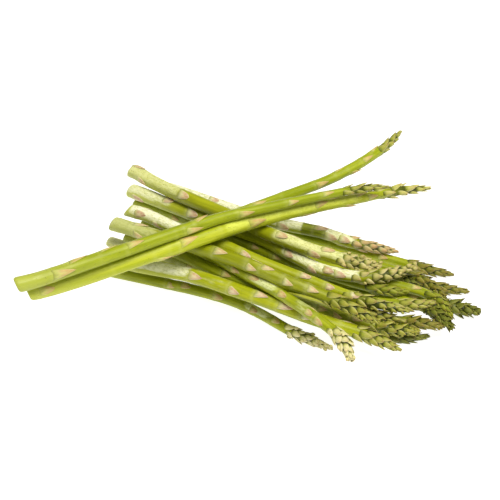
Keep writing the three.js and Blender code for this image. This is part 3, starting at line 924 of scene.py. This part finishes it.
def spearSkin(name, skin, headSkin):
    material = bpy.data.materials.new(name)
    material.use_nodes = True
    tree = material.node_tree
    nodes = tree.nodes
    link = tree.links.new
    shader = nodes["Principled BSDF"]

    def given(attribute, output="Fac"):
        node = nodes.new("ShaderNodeAttribute")
        node.attribute_name = attribute
        return node.outputs[output]

    def fill(socket, value):
        if isinstance(value, bpy.types.NodeSocket):
            link(value, socket)
        elif isinstance(value, tuple):
            socket.default_value = colourOf(value)
        elif value is not None:
            socket.default_value = value

    def maths(operation, first, second=None):
        node = nodes.new("ShaderNodeMath")
        node.operation = operation
        fill(node.inputs[0], first)
        fill(node.inputs[1], second)
        return node.outputs[0]

    def times(first, second):
        return maths("MULTIPLY", first, second)

    def between(value, low, high, start=0.0, end=1.0):
        node = nodes.new("ShaderNodeMapRange")
        node.interpolation_type = "SMOOTHSTEP"
        link(value, node.inputs["Value"])
        for socket, number in zip(("From Min", "From Max", "To Min", "To Max"), (low, high, start, end)):
            node.inputs[socket].default_value = number
        return node.outputs["Result"]

    def mixed(share, first, second):
        node = nodes.new("ShaderNodeMix")
        node.data_type = "RGBA"
        fill(node.inputs["Factor"], share)
        fill(node.inputs[6], first)
        fill(node.inputs[7], second)
        return node.outputs[2]

    def noise(stretch, scale, detail=3.0, roughness=0.55):
        place = nodes.new("ShaderNodeMapping")
        place.inputs["Scale"].default_value = stretch
        link(given("onSpear", "Vector"), place.inputs["Vector"])
        node = nodes.new("ShaderNodeTexNoise")
        node.inputs["Scale"].default_value = scale
        node.inputs["Detail"].default_value = detail
        node.inputs["Roughness"].default_value = roughness
        link(place.outputs[0], node.inputs["Vector"])
        return node.outputs["Fac"]

    share = given("alongShare")
    scaleShare = given("scaleShare")
    scaleEdge = given("scaleEdge")
    chance = given("scaleChance")
    inHead = given("inHead")

    # the stem: broad soft streaks, paler towards the cut end
    streaks = noise((1.0, 1.0, 0.05), 0.5, 4.0)
    patches = noise((0.6, 0.6, 0.12), 0.55, 3.0)
    stem = mixed(between(streaks, 0.35, 0.65), skin["deep"], skin["light"])
    stem = mixed(between(patches, 0.4, 0.65, 0.0, 0.7), stem, skin["deep"])
    fibres = noise((2.4, 2.4, 0.05), 0.9, 3.0)
    stem = mixed(between(fibres, 0.45, 0.7, 0.0, 0.6), stem, skin["light"])
    stem = mixed(between(share, 0.0, 0.26, 0.6, 0.0), stem, skin["butt"])

    # the wax bloom, with a painted highlight on the upper side, lies in drifts, rubbed off in fine grains
    grain = noise((1.0, 1.0, 0.4), 0.9, 5.0, 0.7)
    drifts = maths("SUBTRACT", noise((0.7, 0.7, 0.14), 0.8, 4.0), 0.5)
    bloomAndHighlight = between(maths("ADD", given("wax"), times(drifts, 1.3)), 0.22, 0.62)
    bloomAndHighlight = times(times(bloomAndHighlight, given("wax")), between(grain, 0.38, 0.56, 0.5, 1.0))
    # pale wax bloom and painted highlight laid over the stem
    stem = mixed(bloomAndHighlight, stem, skin["bloomAndHighlight"])
    # painted shadow: a dark green band with no bloom, where the crossing spears' shadow falls
    bare = mixed(between(streaks, 0.35, 0.65), common["paintedShadowDeep"], common["paintedShadowPale"])
    stem = mixed(given("bare"), stem, bare)
    stem = mixed(times(given("nodeLine"), 0.15), stem, skin["leafFoot"])
    specks = noise((1.0, 1.0, 0.5), 1.5, 2.0, 0.4)
    stem = mixed(between(specks, 0.68, 0.72, 0.0, 0.6), stem, common["speck"])

    # the cut end: fibrous, a little paler than the skin
    crumbs = noise((1.0, 1.0, 1.0), 2.2, 2.0)
    face = mixed(between(crumbs, 0.4, 0.62), common["cutPale"], common["cutGreen"])
    stem = mixed(given("cutFace"), stem, face)

    # stem scales: cream foot and rims, pinkish tan middle
    shifted = maths("ADD", scaleShare, times(maths("SUBTRACT", chance, 0.5), 0.25))
    blush = noise((1.0, 0.6, 1.0), 0.9, 3.0)
    leaf = mixed(between(shifted, 0.06, 0.42), skin["leafFoot"], skin["leafMiddle"])
    leaf = mixed(between(shifted, 0.65, 1.05, 0.0, 0.7), leaf, skin["leafTip"])
    leaf = mixed(between(blush, 0.44, 0.66, 0.0, 0.6), leaf, skin["leafFoot"])
    leaf = mixed(between(scaleEdge, 0.6, 1.0, 0.0, 0.6), leaf, skin["leafFoot"])
    leaf = mixed(between(scaleShare, 0.0, 0.45, 0.7, 0.0), leaf, stem)

    # head scales: green foot, paler middle and rims, brown towards the tip
    crown = mixed(between(shifted, 0.05, 0.5), headSkin["foot"], headSkin["middle"])
    crown = mixed(between(shifted, 0.62, 1.05), crown, headSkin["tip"])
    crown = mixed(between(scaleEdge, 0.55, 1.0, 0.0, 0.65), crown, headSkin["rim"])
    crown = mixed(between(chance, 0.35, 1.0, 0.0, 0.45), crown, headSkin["foot"])
    # painted shade at the foot of each head scale, where it comes out from under its neighbours
    crown = mixed(between(scaleShare, 0.0, 0.34, 0.75, 0.0), crown, common["paintedScaleShade"])
    # the head's core between its scales is painted almost black, as painted shade
    core = mixed(inHead, stem, mixed(0.9, headSkin["foot"], common["paintedHeadShade"]))
    leaf = mixed(inHead, leaf, crown)
    veins = noise((2.2, 0.35, 1.0), 2.4, 3.0)
    leaf = mixed(between(veins, 0.35, 0.7, 0.25, 0.0), leaf, common["vein"])
    link(mixed(given("onScale"), core, leaf), shader.inputs["Base Color"])

    dull = maths("ADD", times(bloomAndHighlight, 0.2), between(streaks, 0.3, 0.7, 0.34, 0.44))
    link(maths("ADD", dull, times(given("onScale"), 0.14)), shader.inputs["Roughness"])
    shader.inputs["Subsurface Weight"].default_value = common["glow"]
    shader.inputs["Subsurface Radius"].default_value = common["glowColours"]
    shader.inputs["Subsurface Scale"].default_value = common["glowReach"]
    shader.inputs["Specular IOR Level"].default_value = common["shine"]
    fine = maths("ADD", noise((2.5, 2.5, 0.12), 1.6, 3.0), times(noise((1, 1, 1), 4.0, 3.0), 0.35))
    bump = nodes.new("ShaderNodeBump")
    strength, depth = common["fineRelief"]
    bump.inputs["Strength"].default_value = strength
    bump.inputs["Distance"].default_value = depth
    link(fine, bump.inputs["Height"])
    link(bump.outputs[0], shader.inputs["Normal"])
    return material


dressing = {"play": 0.22, "seed": 11}
materials = {}


def skinFor(settings):
    key = settings["skin"] + "_" + settings["headSkin"]
    if key not in materials:
        materials[key] = spearSkin(key, skins[settings["skin"]], headSkins[settings["headSkin"]])
    return materials[key]


def buildSpear(name, settings, rank, tree, sockets):
    course = spearCourse(name, settings)
    scales = stemScales(settings, course["length"])
    stem = helperObject(coreMesh(name + "_stem", settings, course, scales, rank))
    carrier = helperObject(pointsMesh(name, scalePlaces(settings, course, scales, rank)))
    modifier = carrier.modifiers.new("scales", "NODES")
    modifier.node_group = tree
    modifier[sockets["Stem"]] = stem
    for pattern, thing in patterns.items():
        modifier[sockets[pattern]] = thing
    modifier[sockets["Skin"]] = skinFor(settings)
    modifier[sockets["Play"]] = dressing["play"]
    modifier[sockets["Seed"]] = dressing["seed"] + rank
    graph = bpy.context.evaluated_depsgraph_get()
    mesh = bpy.data.meshes.new_from_object(carrier.evaluated_get(graph), depsgraph=graph)
    carrier.modifiers.remove(modifier)
    for helper in (carrier, stem):
        bpy.data.objects.remove(helper)
    keepInBox(mesh)
    mesh.name = name + "_fine"
    piece = bpy.data.objects.new(name + "_fine", mesh)
    scene.collection.objects.link(piece)
    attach(piece, "root")
    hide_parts(name)
    return len(mesh.polygons), course["length"]


def keepInBox(mesh):
    # the lowest spears are pressed flat on the table, and no scale reaches past the heap's box
    places = np.empty(len(mesh.vertices) * 3, dtype=np.float32)
    mesh.vertices.foreach_get("co", places)
    low, high = (np.array(corner, dtype=np.float32) for corner in cadBox)
    places = np.clip(places.reshape(-1, 3), low, high)
    mesh.vertices.foreach_set("co", places.ravel())
    mesh.update()


tree, sockets = scaleTree()
total = 0
for rank, (name, settings) in enumerate(spears.items()):
    faces, length = buildSpear(name, settings, rank, tree, sockets)
    total += faces
    print(name, "faces", faces, "length", round(length, 1))
for thing in patterns.values():
    bpy.data.objects.remove(thing)
print("spears built, faces in all:", total)

# Table and light: a soft key from above, a little to the right and the front, and a table that glows
# enough to hold no shadows.
studio = {
    "floorTone": (0.45, 0.45, 0.45),
    "floorGlow": 0.9,
    "floorRoughness": 0.9,
    "floorSize": 6.0,
    "skyTone": (1.0, 0.98, 0.92),
    "skyStrength": 0.29,
    "keyTone": (1.0, 0.96, 0.86),
    "keyPlace": (0.25, -0.3, 1.25),
    "keySize": 0.8,
    "keyPower": 20.0,
}


def layFloor():
    half = studio["floorSize"] / 2
    corners = [(-half, -half, 0), (half, -half, 0), (half, half, 0), (-half, half, 0)]
    mesh = bpy.data.meshes.new("floor")
    mesh.from_pydata(corners, [], [(0, 1, 2, 3)])
    floor = bpy.data.objects.new("floor", mesh)
    scene.collection.objects.link(floor)
    material = bpy.data.materials.new("paleFloor")
    material.use_nodes = True
    shader = material.node_tree.nodes["Principled BSDF"]
    shader.inputs["Base Color"].default_value = colourOf(studio["floorTone"])
    shader.inputs["Roughness"].default_value = studio["floorRoughness"]
    shader.inputs["Emission Color"].default_value = (1.0, 1.0, 1.0, 1.0)
    shader.inputs["Emission Strength"].default_value = studio["floorGlow"]
    mesh.materials.append(material)


def hangLight():
    data = bpy.data.lights.new("key", "AREA")
    data.shape = "DISK"
    data.size = studio["keySize"]
    data.energy = studio["keyPower"]
    data.color = studio["keyTone"]
    light = bpy.data.objects.new("key", data)
    light.location = studio["keyPlace"]
    light.rotation_euler = Vector(studio["keyPlace"]).to_track_quat("Z", "Y").to_euler()
    scene.collection.objects.link(light)


layFloor()
hangLight()
world = bpy.data.worlds.new("whiteRoom")
world.use_nodes = True
world.node_tree.nodes["Background"].inputs["Color"].default_value = colourOf(studio["skyTone"])
world.node_tree.nodes["Background"].inputs["Strength"].default_value = studio["skyStrength"]
scene.world = world
print("light set")
